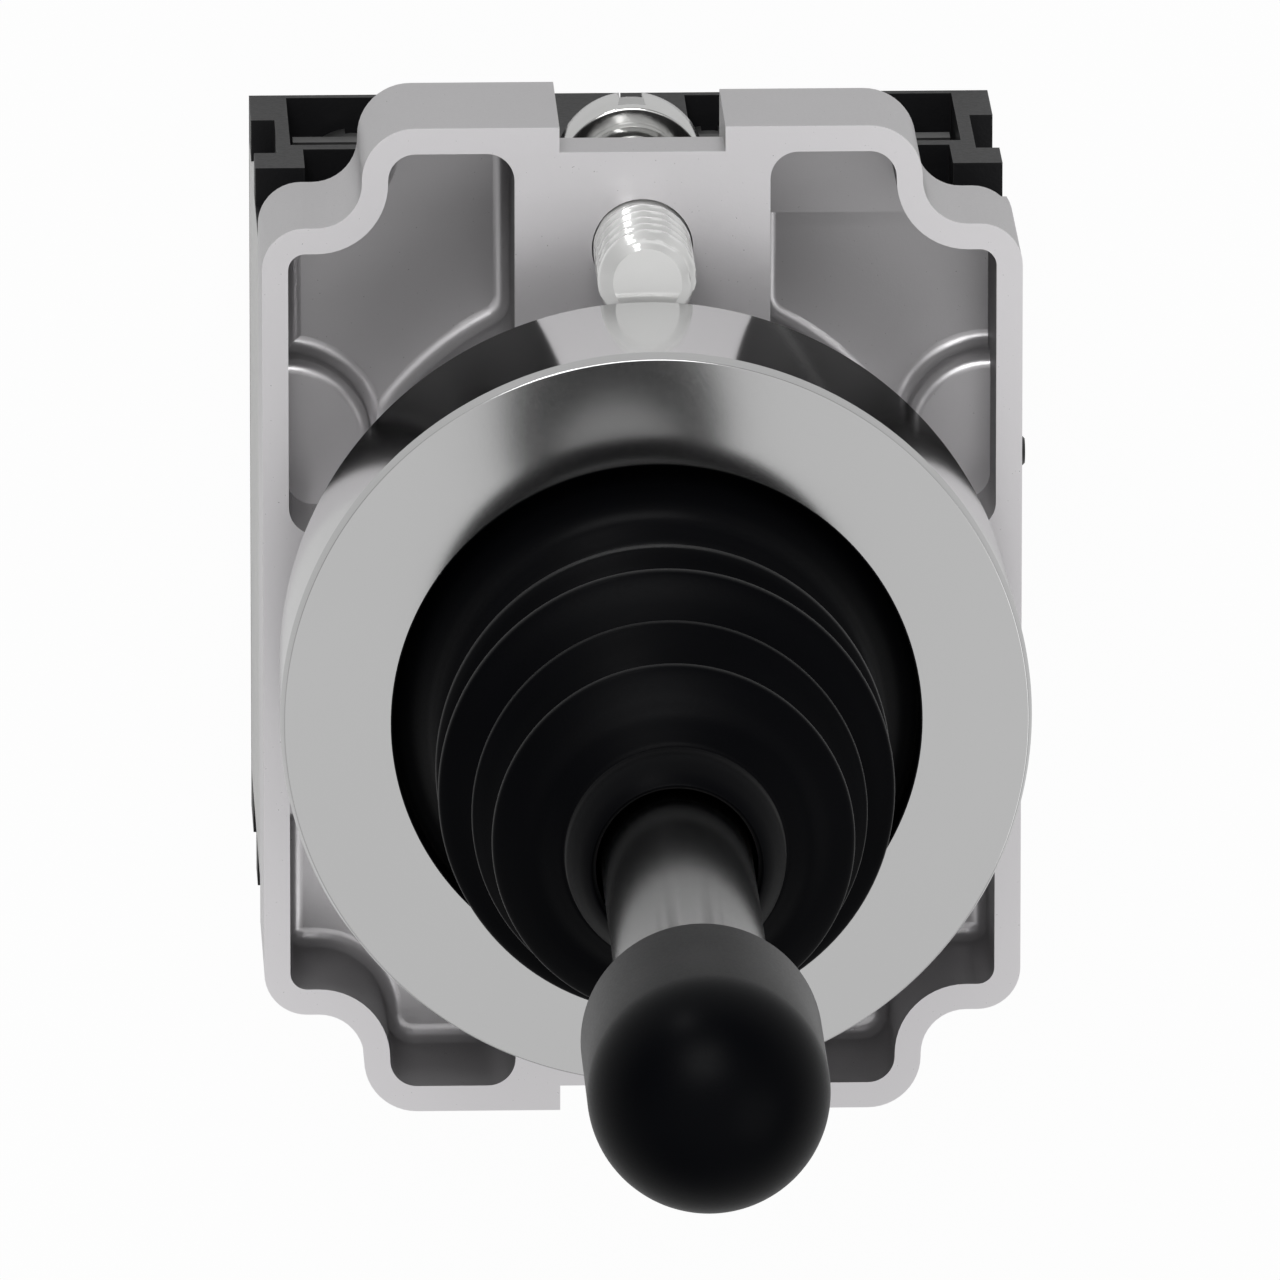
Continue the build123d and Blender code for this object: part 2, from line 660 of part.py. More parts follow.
# Contact block housings and their rear covers
for side_name, side in (("left", -1), ("right", 1)):
    columns = [side * column for column in terminal_columns]
    feet = [place for place in contact_places if place[0] * side > 0]
    cover_width = 2 * (chamber_half_length + cover_margin)
    cover_height = 2 * (contact_y + chamber_half_width + cover_margin)
    with BuildPart() as contact_block:
        with BuildSketch():
            with Locations((side * block_centre_x, 0)):
                Rectangle(block_width, block_height)
        extrude(amount=block_depth)
        with BuildSketch(Plane.XY.offset(block_depth)):
            with Locations((side * block_centre_x, 0)):
                Rectangle(block_width, nose_height)
        extrude(amount=nose_depth)
        # Wire pockets, open at the top or bottom, each with a rear hole for a screwdriver
        with BuildSketch(Plane.XY.offset(block_rear_wall)):
            for column in columns:
                with GridLocations(0, block_height - wire_pocket_height, 1, 2):
                    with Locations((column, 0)):
                        Rectangle(wire_pocket_width, wire_pocket_height)
        extrude(amount=wire_pocket_depth - block_rear_wall, mode=Mode.SUBTRACT)
        with BuildSketch():
            for column in columns:
                with GridLocations(0, 2 * terminal_screw_y, 1, 2):
                    with Locations((column, 0)):
                        Circle(driver_hole_r)
        extrude(amount=block_rear_wall, mode=Mode.SUBTRACT)
        # A web beside the middle closes part of the inner wire pockets
        with BuildSketch():
            with GridLocations(0, block_height - middle_web, 1, 2):
                with Locations((side * (middle_web_reach + block_gap / 2) / 2, 0)):
                    Rectangle(middle_web_reach - block_gap / 2, middle_web)
        extrude(amount=wire_pocket_depth)
        # Probe openings at the front edge, with the wire pockets' pitch
        with BuildSketch(Plane.XY.offset(block_depth)):
            for column in columns:
                with GridLocations(0, block_height - probe_reach_y, 1, 2):
                    with Locations((column, 0)):
                        Rectangle(probe_width, probe_reach_y)
        extrude(amount=-probe_depth, mode=Mode.SUBTRACT)
        # Notches in the outer side, at the top and bottom
        with BuildSketch(Plane.XY.offset(side_notch_rear)):
            with GridLocations(0, block_height - side_notch_reach, 1, 2):
                with Locations((side * (block_side - side_notch / 2), 0)):
                    Rectangle(side_notch, side_notch_reach)
        extrude(amount=side_notch_front - side_notch_rear, mode=Mode.SUBTRACT)
        # Contact chambers, the cover's recess, strip slots and plunger holes
        with BuildSketch():
            with Locations(*feet):
                Rectangle(2 * chamber_half_length, 2 * chamber_half_width)
        extrude(amount=chamber_top, mode=Mode.SUBTRACT)
        with BuildSketch():
            with Locations((side * contact_x, 0)):
                Rectangle(cover_width, cover_height)
        extrude(amount=cover_thickness, mode=Mode.SUBTRACT)
        with BuildSketch(Plane.XY.offset(strip_base)):
            for column in columns:
                with GridLocations(0, wire_pocket_floor_y + contact_y, 1, 2):
                    with Locations((column, 0)):
                        Rectangle(strip_width, wire_pocket_floor_y - contact_y)
        extrude(amount=strip_thickness, mode=Mode.SUBTRACT)
        with Locations(*[(*foot, nose_front) for foot in feet]):
            Hole(plunger_r + plunger_clearance, depth=nose_front - chamber_top + TINY)
        # Room for the head of the clamp screw
        with Locations((0, screw_y, block_depth)):
            Cylinder(
                screw_head_r + screw_relief, nose_depth, align=ON_BASE, mode=Mode.SUBTRACT
            )
        # The right block has a blind hole for the latch pin, the left a recess for the label
        if side > 0:
            with BuildSketch(Plane.YZ.offset(block_side - latch_pin_depth)):
                with Locations((latch_pin_y, latch_pin_z)):
                    Circle(latch_pin_r)
            extrude(amount=latch_pin_depth, mode=Mode.SUBTRACT)
        else:
            with BuildSketch(Plane.YZ.offset(-block_side)):
                with Locations((0, label_rear + label_depth / 2)):
                    Rectangle(label_height, label_depth)
            extrude(amount=label_thickness, mode=Mode.SUBTRACT)
    contact_block.part.label = f"contact_block_{side_name}"
    export_step(contact_block.part, f"parts/contact_block_{side_name}.step")

    with BuildPart() as block_cover:
        with BuildSketch():
            with Locations((side * contact_x, 0)):
                Rectangle(cover_width - 2 * cover_clearance, cover_height - 2 * cover_clearance)
        extrude(amount=cover_thickness)
    block_cover.part.label = f"block_cover_{side_name}"
    export_step(block_cover.part, f"parts/block_cover_{side_name}.step")

# Terminal strips: each runs from its wire pocket to a fixed contact under a bridge tip
pad_end_y = block_height / 2 - strip_end_inset
with BuildPart() as terminal_strips:
    for column, end in terminal_places:
        with BuildSketch(Plane.XY.offset(strip_base)):
            with Locations((column, end * (wire_pocket_floor_y + pad_end_y) / 2)):
                Rectangle(strip_pad_width, pad_end_y - wire_pocket_floor_y)
            with Locations((column, end * (wire_pocket_floor_y + strip_inner_y) / 2)):
                Rectangle(strip_width, wire_pocket_floor_y - strip_inner_y)
        extrude(amount=strip_thickness)
        with Locations((column, end * contact_y, strip_base + strip_thickness)):
            Cylinder(tip_r, fixed_tip, align=ON_BASE)
        with Locations((column, end * terminal_screw_y, strip_base)):
            Cylinder(
                terminal_shank_r, strip_thickness, align=ON_BASE, mode=Mode.SUBTRACT
            )

terminal_strips.part.label = "terminal_strips"
export_step(terminal_strips.part, "parts/terminal_strips.step")

# Terminal clamps: square washers with a lip that grips the wire
clamp_base = terminal_head_base + terminal_head
with BuildPart() as terminal_clamps:
    for column, end in terminal_places:
        with Locations((column, end * terminal_screw_y, clamp_base)):
            Box(clamp_size, clamp_size, clamp_thickness, align=ON_BASE)
            Cylinder(
                terminal_shank_r, clamp_thickness, align=ON_BASE, mode=Mode.SUBTRACT
            )
        lip_y = end * (terminal_screw_y - (clamp_size - clamp_lip) / 2)
        with Locations((column, lip_y, clamp_base + clamp_thickness)):
            Box(clamp_size, clamp_lip, clamp_lip, align=ON_BASE)

terminal_clamps.part.label = "terminal_clamps"
export_step(terminal_clamps.part, "parts/terminal_clamps.step")

# Terminal screws, worked from the rear
with BuildPart() as terminal_screws:
    for column, end in terminal_places:
        with Locations((column, end * terminal_screw_y, terminal_head_base)):
            Cylinder(terminal_head_r, terminal_head, align=ON_BASE)
            Cylinder(
                terminal_shank_r, wire_pocket_depth - terminal_head_base, align=ON_BASE
            )
            Box(
                terminal_slot,
                2 * terminal_head_r,
                terminal_slot_depth,
                align=ON_BASE,
                mode=Mode.SUBTRACT,
            )

terminal_screws.part.label = "terminal_screws"
export_step(terminal_screws.part, "parts/terminal_screws.step")

# Latch pin, with a domed head that stands out of the right block
with BuildPart() as latch_pin:
    with BuildSketch(Plane.YZ.offset(block_side - latch_pin_depth)):
        with Locations((latch_pin_y, latch_pin_z)):
            Circle(latch_pin_r)
    extrude(amount=latch_pin_depth + latch_pin_proud)
    chamfer(latch_pin.edges().filter_by(GeomType.CIRCLE).sort_by(Axis.X)[-1], latch_pin_chamfer)

latch_pin.part.label = "latch_pin"
export_step(latch_pin.part, "parts/latch_pin.step")

# Bare label, set flush in the left side
with BuildPart() as side_label:
    with BuildSketch(Plane.YZ.offset(-block_side)):
        with Locations((0, label_rear + label_depth / 2)):
            Rectangle(label_height, label_depth)
    extrude(amount=label_thickness)

side_label.part.label = "side_label"
export_step(side_label.part, "parts/side_label.step")
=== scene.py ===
# %% [markdown]
# # A four-way panel joystick
#
# This notebook dresses the solid model of a small joystick switch: a cast collar that holds
# two contact blocks behind a panel, a chromed bezel in front of it, and a lever with a
# ball-ended knob that comes out of a pleated rubber boot. The solid model is already in the
# right place and at the right size, in metres, with Z along the lever. So each step here
# only gives a surface its finish, or lays a finer mesh over a plain solid.

import math

import bmesh
import bpy
from mathutils import Matrix, Vector


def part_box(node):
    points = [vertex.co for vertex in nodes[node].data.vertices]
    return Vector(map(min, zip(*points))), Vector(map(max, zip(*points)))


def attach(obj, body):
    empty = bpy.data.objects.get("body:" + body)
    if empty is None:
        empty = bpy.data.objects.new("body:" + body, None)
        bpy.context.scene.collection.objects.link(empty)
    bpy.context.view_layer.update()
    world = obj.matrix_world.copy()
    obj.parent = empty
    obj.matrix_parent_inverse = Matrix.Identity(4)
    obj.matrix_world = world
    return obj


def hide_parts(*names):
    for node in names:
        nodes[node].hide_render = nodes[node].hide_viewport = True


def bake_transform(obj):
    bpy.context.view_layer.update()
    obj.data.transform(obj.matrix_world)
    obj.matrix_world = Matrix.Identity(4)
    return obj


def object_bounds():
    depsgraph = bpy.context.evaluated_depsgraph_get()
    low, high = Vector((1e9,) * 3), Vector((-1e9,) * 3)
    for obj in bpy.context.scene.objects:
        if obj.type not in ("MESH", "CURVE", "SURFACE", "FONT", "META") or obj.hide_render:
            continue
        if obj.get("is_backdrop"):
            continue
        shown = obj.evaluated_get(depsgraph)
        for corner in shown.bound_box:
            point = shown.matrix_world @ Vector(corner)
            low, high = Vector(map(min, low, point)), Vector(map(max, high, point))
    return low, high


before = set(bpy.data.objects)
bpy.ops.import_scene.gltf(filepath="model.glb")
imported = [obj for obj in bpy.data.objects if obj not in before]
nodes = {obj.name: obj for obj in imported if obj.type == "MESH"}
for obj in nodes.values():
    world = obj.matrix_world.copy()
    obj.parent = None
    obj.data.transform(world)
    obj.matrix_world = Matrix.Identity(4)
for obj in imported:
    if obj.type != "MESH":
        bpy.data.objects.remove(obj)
cad_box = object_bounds()
scene = bpy.context.scene
mm = 0.001
ways = ("right", "up", "left", "down")


# %% [markdown]
# ## The sizes that the finer pieces share with the solids
#
# A finer mesh has to sit exactly where its solid sits. Rather than typing the levels again,
# we ask the solid for its box and keep the values that the later cells need. Everything
# is kept in millimetres, because that is how such a part is drawn, and turned into metres
# only when a mesh is made.


# %% Levels read from the solids
def span(node, axis=2):
    """Lowest and highest millimetre of a solid along one axis."""
    low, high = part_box(node)
    return low[axis] / mm, high[axis] / mm


bezel_rear, bezel_front = span("bezel")
barrel_front = span("head_barrel")[1]
collar_front = span("mounting_collar")[1]
knob_rear, knob_tip = span("knob")
screw_rear, screw_front = span("clamp_screw")
screw_y = sum(span("clamp_screw", 1)) / 2
collar_side = span("mounting_collar", 0)[1]
bezel_r = span("bezel", 0)[1]
knob_r = span("knob", 0)[1]
lever_r = span("lever_shaft", 0)[1]
print(f"bezel {bezel_rear:.2f} to {bezel_front:.2f} mm, knob tip {knob_tip:.2f} mm")

# %% [markdown]
# ## Camera
#
# The photograph looks almost straight down the lever, from a little above it, through a
# very long lens: parallel edges hardly close in. So the camera is a metre away with a
# narrow view. Its axes are written out one by one, because Blender's own tracking helper
# would put world Z at the top of the picture, and here Z comes at the viewer.

# %% Camera
camera_distance = 1.043
aim_below, aim_left = 0.77, 0.1
view_back = Vector((-0.0328, 0.2419, 0.9697)).normalized()
view_right = Vector((0, 1, 0)).cross(view_back).normalized()
view_up = view_back.cross(view_right)
camera_data = bpy.data.cameras.new("camera")
camera_data.sensor_width = 36
camera_data.lens = 742
camera_data.clip_start = 0.05
camera_data.clip_end = 20
camera = bpy.data.objects.new("camera", camera_data)
scene.collection.objects.link(camera)
middle_of_collar = Vector((0, 0, collar_front * mm))
aim = middle_of_collar - view_up * aim_below * mm - view_right * aim_left * mm
turn = Matrix((view_right, view_up, view_back)).transposed().to_4x4()
camera.matrix_world = Matrix.Translation(aim + view_back * camera_distance) @ turn
scene.camera = camera
scene.view_settings.view_transform = "Standard"
print("camera at", [round(v, 3) for v in camera.matrix_world.translation])


# %% [markdown]
# ## Writing shader nodes
#
# Blender's shaders are graphs: each node has settings and sockets, and links carry values
# from one to the next. Made line by line, a graph takes a page of code. Two small helpers
# keep it readable: one makes a node with its settings and the values of its sockets, and
# the other draws the links, each written as a pair of sockets.


# %% Node helpers
def add_node(tree, kind, values=None, **settings):
    """A shader node with its settings and the values of its input sockets."""
    node = tree.nodes.new("ShaderNode" + kind)
    for setting, value in settings.items():
        setattr(node, setting, value)
    for socket, value in (values or {}).items():
        node.inputs[socket].default_value = value
    return node


def connect(tree, *pairs):
    """Links each output socket to its input socket."""
    for source, target in pairs:
        tree.links.new(source, target)


def new_material(name):
    """An empty material and its node tree."""
    material = bpy.data.materials.new(name)
    material.use_nodes = True
    material.node_tree.nodes.clear()
    return material, material.node_tree


def set_greys(ramp, stops):
    """Sets the stops of a colour ramp from (place, grey) pairs."""
    while len(ramp.elements) < len(stops):
        ramp.elements.new(0.5)
    for element, (place, grey) in zip(ramp.elements, stops):
        element.position = place
        element.color = (grey, grey, grey, 1)


# %% [markdown]
# ## Light and ground
#
# Polished metal is only as good as what it reflects. The world is a soft gradient, bright
# overhead and darker towards the horizon, where four pale panels stand round the part and
# draw upright streaks on turned metal. The world and the ground are plain white where the
# camera sees them. Metal sees a part of that white as well, so that it doesn't seem to
# stand in another room. Both are done by asking which kind of ray arrives. The ground's own
# light stops short of the whole, so that the part keeps its shadow.


# %% Share of white
def seen_share(tree, whole, mirrored):
    """A value that is whole for the camera, and mirrored for metal and glass."""
    rays = add_node(tree, "LightPath")
    polished = add_node(tree, "Math", operation="MAXIMUM")
    partly = add_node(tree, "Math", {1: mirrored / whole}, operation="MULTIPLY")
    either = add_node(tree, "Math", operation="MAXIMUM")
    share = add_node(tree, "Math", {1: whole}, operation="MULTIPLY")
    connect(
        tree,
        (rays.outputs["Is Glossy Ray"], polished.inputs[0]),
        (rays.outputs["Is Transmission Ray"], polished.inputs[1]),
        (polished.outputs[0], partly.inputs[0]),
        (rays.outputs["Is Camera Ray"], either.inputs[0]),
        (partly.outputs[0], either.inputs[1]),
        (either.outputs[0], share.inputs[0]),
    )
    return share.outputs[0]


# %% Sky from ground to overhead
world = bpy.data.worlds.new("studio")
scene.world = world
world.use_nodes = True
sky_tree = world.node_tree
sky_tree.nodes.clear()
direction = add_node(sky_tree, "TexCoord")
axes = add_node(sky_tree, "SeparateXYZ")
rise = add_node(sky_tree, "MapRange", {"From Min": -1})
sky = add_node(sky_tree, "ValToRGB")
set_greys(sky.color_ramp, [(0.0, 0.3), (0.5, 0.2), (0.75, 0.3), (0.93, 0.72), (1.0, 0.8)])
connect(
    sky_tree,
    (direction.outputs["Generated"], axes.inputs[0]),
    (axes.outputs["Z"], rise.inputs["Value"]),
    (rise.outputs[0], sky.inputs["Fac"]),
)
print("sky:", len(sky.color_ramp.elements), "levels of grey")

# %% Pale panels round the horizon
panel_count, panel_contrast = 4, 0.65
panel_whole_below, panel_gone_above = 0.3, 0.75
bearing = add_node(sky_tree, "TexGradient", gradient_type="RADIAL")
full_turns = add_node(sky_tree, "Math", {1: panel_count * 2 * math.pi}, operation="MULTIPLY")
wave = add_node(sky_tree, "Math", operation="SINE")
steepness = add_node(sky_tree, "Math", operation="ABSOLUTE")
contrast = add_node(
    sky_tree, "MapRange", {"From Min": panel_whole_below, "From Max": panel_gone_above}
)
contrast.inputs["To Min"].default_value = panel_contrast
contrast.inputs["To Max"].default_value = 0.0
strength = add_node(sky_tree, "Math", {2: 1.0}, operation="MULTIPLY_ADD")
connect(
    sky_tree,
    (direction.outputs["Generated"], bearing.inputs["Vector"]),
    (bearing.outputs["Fac"], full_turns.inputs[0]),
    (full_turns.outputs[0], wave.inputs[0]),
    (axes.outputs["Z"], steepness.inputs[0]),
    (steepness.outputs[0], contrast.inputs["Value"]),
    (wave.outputs[0], strength.inputs[0]),
    (contrast.outputs[0], strength.inputs[1]),
)
print("panels:", panel_count)

# %% World
sky_mirrored = 0.2
lighting = add_node(sky_tree, "Background")
backdrop = add_node(sky_tree, "Background", {"Color": (1, 1, 1, 1)})
either_sky = add_node(sky_tree, "MixShader")
sky_out = add_node(sky_tree, "OutputWorld")
connect(
    sky_tree,
    (sky.outputs["Color"], lighting.inputs["Color"]),
    (strength.outputs[0], lighting.inputs["Strength"]),
    (seen_share(sky_tree, 1.0, sky_mirrored), either_sky.inputs["Fac"]),
    (lighting.outputs[0], either_sky.inputs[1]),
    (backdrop.outputs[0], either_sky.inputs[2]),
    (either_sky.outputs[0], sky_out.inputs["Surface"]),
)
print("world:", len(sky_tree.nodes), "nodes")


# %% [markdown]
# ## Lamps
#
# Three square lamps stand round the part, as in a small photo studio. The key hangs over
# its top edge and gives the faces their shape. The fill is wide and weak, on the right, and
# opens the shadows. The stripe is a small one, low beyond the clamp screw, for the bright
# line at the top of the bezel's rim. All are weak enough that a colour shows about as
# written.


# %% Lamps
part_middle = Vector((0, 0, 0.04))


def softbox(name, offset, distance, size, power):
    """A square lamp that faces the middle of the part, a distance away along an offset."""
    data = bpy.data.lights.new(name, "AREA")
    data.shape = "SQUARE"
    data.size = size
    data.energy = power
    lamp = bpy.data.objects.new(name, data)
    towards = Vector(offset).normalized()
    lamp.location = part_middle + towards * distance
    lamp.rotation_mode = "QUATERNION"
    lamp.rotation_quaternion = towards.to_track_quat("Z", "Y")
    scene.collection.objects.link(lamp)
    return lamp


softbox("key", (-0.1, 0.66, 0.75), distance=0.9, size=0.45, power=3.0)
softbox("fill", (0.7, -0.2, 0.75), distance=1.1, size=0.7, power=1.5)
softbox("stripe", (-0.3, 0.91, 0.1), distance=0.6, size=0.1, power=0.35)
print("lamps:", len(bpy.data.lights))

# %% Ground
ground_reach = 4.0
ground_gap = 0.0002
ground_glow, ground_mirrored = 0.97, 0.34
corners = [(-1, -1), (1, -1), (1, 1), (-1, 1)]
ground_mesh = bpy.data.meshes.new("ground")
ground_mesh.from_pydata(
    [(x * ground_reach, y * ground_reach, 0) for x, y in corners], [], [(0, 1, 2, 3)]
)
ground = bpy.data.objects.new("ground", ground_mesh)
ground.location.z = -ground_gap
scene.collection.objects.link(ground)
ground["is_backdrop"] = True
white_ground, ground_tree = new_material("white ground")
matte = add_node(ground_tree, "BsdfDiffuse", {"Color": (0.6, 0.6, 0.6, 1)})
glow = add_node(ground_tree, "Emission", {"Strength": 1.0})
either_ground = add_node(ground_tree, "MixShader")
ground_out = add_node(ground_tree, "OutputMaterial")
connect(
    ground_tree,
    (seen_share(ground_tree, ground_glow, ground_mirrored), either_ground.inputs["Fac"]),
    (matte.outputs[0], either_ground.inputs[1]),
    (glow.outputs[0], either_ground.inputs[2]),
    (either_ground.outputs[0], ground_out.inputs["Surface"]),
)
ground.data.materials.append(white_ground)
print("ground:", 2 * ground_reach, "m square")


# %% [markdown]
# ## Shared surface effects
#
# Three effects turn up in more than one finish, so each is a node group with its own
# knobs, built once. *Grain* is the fine roughness of a moulded or cast skin. *Tone* is the
# slow, cloudy change of shade that keeps a large face from looking flat. *Wear* finds the
# corners, where handling polishes or scuffs a part: there the normal of a softened corner
# leaves the true one. A group gives out only values, colours and normals, and the shader
# itself stays in each material.


# %% Group helper
def group(name, inputs, outputs):
    """A shader group with named sockets, and its input and output nodes."""
    tree = bpy.data.node_groups.new(name, "ShaderNodeTree")
    for label, value in inputs:
        socket = tree.interface.new_socket(label, in_out="INPUT", socket_type="NodeSocketFloat")
        socket.default_value = value
    for label, kind in outputs:
        tree.interface.new_socket(label, in_out="OUTPUT", socket_type=kind)
    return tree, tree.nodes.new("NodeGroupInput"), tree.nodes.new("NodeGroupOutput")


# %% Grain
grain_group, given, result = group(
    "grain",
    [("Scale", 4000.0), ("Depth", 0.00001)],
    [("Mask", "NodeSocketFloat"), ("Normal", "NodeSocketVector")],
)
finer_by = 2.3
where = add_node(grain_group, "TexCoord")
coarse = add_node(grain_group, "TexNoise", {"Detail": 3})
fine = add_node(grain_group, "TexNoise", {"Detail": 1})
finer_scale = add_node(grain_group, "Math", {1: finer_by}, operation="MULTIPLY")
both = add_node(grain_group, "Math", operation="MULTIPLY")
bump = add_node(grain_group, "Bump")
connect(
    grain_group,
    (where.outputs["Object"], coarse.inputs["Vector"]),
    (where.outputs["Object"], fine.inputs["Vector"]),
    (given.outputs["Scale"], coarse.inputs["Scale"]),
    (given.outputs["Scale"], finer_scale.inputs[0]),
    (finer_scale.outputs[0], fine.inputs["Scale"]),
    (coarse.outputs["Fac"], both.inputs[0]),
    (fine.outputs["Fac"], both.inputs[1]),
    (both.outputs[0], bump.inputs["Height"]),
    (given.outputs["Depth"], bump.inputs["Distance"]),
    (both.outputs[0], result.inputs["Mask"]),
    (bump.outputs["Normal"], result.inputs["Normal"]),
)
print("grain:", len(grain_group.nodes), "nodes")

# %% Tone
tone_group, given, result = group(
    "tone", [("Scale", 90.0), ("Low", 0.9), ("High", 1.0)], [("Shade", "NodeSocketFloat")]
)
where = add_node(tone_group, "TexCoord")
clouds = add_node(tone_group, "TexNoise", {"Detail": 4})
fit = add_node(tone_group, "MapRange", {"From Min": 0.3, "From Max": 0.7})
connect(
    tone_group,
    (where.outputs["Object"], clouds.inputs["Vector"]),
    (given.outputs["Scale"], clouds.inputs["Scale"]),
    (clouds.outputs["Fac"], fit.inputs["Value"]),
    (given.outputs["Low"], fit.inputs["To Min"]),
    (given.outputs["High"], fit.inputs["To Max"]),
    (fit.outputs[0], result.inputs["Shade"]),
)
print("tone:", len(tone_group.nodes), "nodes")

# %% Wear
wear_group, given, result = group(
    "wear", [("Width", 0.0002), ("Amount", 1.0)], [("Mask", "NodeSocketFloat")]
)
scuff_scale = 700
where = add_node(wear_group, "TexCoord")
softened = add_node(wear_group, "Bevel", samples=4)
geometry = add_node(wear_group, "NewGeometry")
alike = add_node(wear_group, "VectorMath", operation="DOT_PRODUCT")
fit = add_node(wear_group, "MapRange", {"From Min": 0.995, "From Max": 0.8})
scuff = add_node(wear_group, "TexNoise", {"Scale": scuff_scale})
broken_up = add_node(wear_group, "Math", operation="MULTIPLY")
amount = add_node(wear_group, "Math", operation="MULTIPLY")
connect(
    wear_group,
    (where.outputs["Object"], scuff.inputs["Vector"]),
    (given.outputs["Width"], softened.inputs["Radius"]),
    (softened.outputs["Normal"], alike.inputs[0]),
    (geometry.outputs["Normal"], alike.inputs[1]),
    (alike.outputs["Value"], fit.inputs["Value"]),
    (fit.outputs[0], broken_up.inputs[0]),
    (scuff.outputs["Fac"], broken_up.inputs[1]),
    (broken_up.outputs[0], amount.inputs[0]),
    (given.outputs["Amount"], amount.inputs[1]),
    (amount.outputs[0], result.inputs["Mask"]),
)
print("groups:", [g.name for g in bpy.data.node_groups])


# %% [markdown]
# ## Finishes
#
# Every finish here is one of a family: a base colour that drifts slightly, a skin with
# grain, and corners that show handling. One function builds such a material, and each
# call below says what is special about it. Black rubber and plastic get a low index of
# refraction: seen straight on they stay black, and only a glancing view turns them grey.


# %% Worn corners
def scuffed(tree, base, wear, worn):
    """Lets a worn colour show through a base colour at the corners."""
    edge = add_node(tree, "Group", dict(zip(("Width", "Amount"), wear)), node_tree=wear_group)
    bare = add_node(tree, "Mix", {"B": (*worn, 1)}, data_type="RGBA")
    connect(tree, (edge.outputs["Mask"], bare.inputs["Factor"]), (base, bare.inputs["A"]))
    return bare.outputs["Result"]


# %% Finish builder
def finish_of(
    name,
    colour,
    metal=0.0,
    rough=0.4,
    ior=1.45,
    tone=(90, 0.9, 1.0),
    grain=(4000, 0.00001),
    wear=(0.0002, 0.0),
    worn=(0.6, 0.6, 0.6),
    rough_spread=0.08,
    sheen=0.0,
):
    """A material with tone (scale, low, high), grain (scale, depth) and wear (width, amount)."""
    material, tree = new_material(name)
    out = add_node(tree, "OutputMaterial")
    shader = add_node(tree, "BsdfPrincipled", {"Metallic": metal, "IOR": ior})
    shader.inputs["Sheen Weight"].default_value = sheen
    shader.inputs["Sheen Roughness"].default_value = 0.35
    shade = add_node(
        tree, "Group", dict(zip(("Scale", "Low", "High"), tone)), node_tree=tone_group
    )
    skin = add_node(tree, "Group", dict(zip(("Scale", "Depth"), grain)), node_tree=grain_group)
    tint = add_node(
        tree, "Mix", {"Factor": 1.0, "A": (*colour, 1)}, data_type="RGBA", blend_type="MULTIPLY"
    )
    gloss = add_node(
        tree, "MapRange", {"To Min": rough - rough_spread, "To Max": rough + rough_spread}
    )
    connect(
        tree,
        (shade.outputs["Shade"], tint.inputs["B"]),
        (skin.outputs["Mask"], gloss.inputs["Value"]),
        (gloss.outputs[0], shader.inputs["Roughness"]),
        (skin.outputs["Normal"], shader.inputs["Normal"]),
        (shader.outputs[0], out.inputs["Surface"]),
    )
    base = tint.outputs["Result"]
    if wear[1] > 0:
        base = scuffed(tree, base, wear, worn)
    connect(tree, (base, shader.inputs["Base Color"]))
    return material


# %% Metals
cast_zinc = finish_of(
    "cast zinc", (0.75, 0.735, 0.75), metal=0.6, rough=0.34, tone=(60, 0.96, 1.0),
    grain=(5600, 0.000003), wear=(0.00025, 0.3), worn=(0.78, 0.77, 0.78),
)
bezel_chrome = finish_of(
    "satin chrome", (0.57, 0.57, 0.57), metal=1.0, rough=0.12, tone=(50, 0.97, 1.0),
    grain=(9000, 0.0000002), rough_spread=0.03,
)
lever_chrome = finish_of(
    "lever chrome", (0.31, 0.31, 0.31), metal=1.0, rough=0.16, tone=(120, 0.9, 1.0),
    grain=(9000, 0.000002), rough_spread=0.05,
)
bright_steel = finish_of(
    "bright zinc plate", (0.75, 0.75, 0.74), metal=1.0, rough=0.14, tone=(300, 0.92, 1.0),
    grain=(7000, 0.000002), rough_spread=0.05,
)
pale_plate = finish_of(
    "pale zinc plate", (0.9, 0.9, 0.89), metal=0.5, rough=0.16, tone=(300, 0.92, 1.0),
    grain=(7000, 0.000002), rough_spread=0.05,
)
# Painted shade: the terminal screws and clamps sit in deep shade behind the collar, so their zinc
# plate is darkened far below its own grey.
zinc_plate_with_painted_shade = finish_of(
    "dull zinc plate with painted shade", (0.2, 0.2, 0.2), metal=1.0, rough=0.42, tone=(300, 0.8, 1.0),
    grain=(7000, 0.000003),
)
ground_steel = finish_of(
    "ground steel", (0.55, 0.55, 0.56), metal=1.0, rough=0.3, grain=(6000, 0.000004)
)
brass = finish_of(
    "brass", (0.72, 0.5, 0.22), metal=1.0, rough=0.28, tone=(200, 0.85, 1.0),
    grain=(6000, 0.000004),
)
# Painted shade: the terminal strips sit in deep shade behind the collar, so their tin is darkened
# far below its own grey.
tinned_brass_with_painted_shade = finish_of(
    "tinned brass with painted shade", (0.16, 0.16, 0.155), metal=1.0, rough=0.35, grain=(6000, 0.000004)
)
print("materials so far:", len(bpy.data.materials))

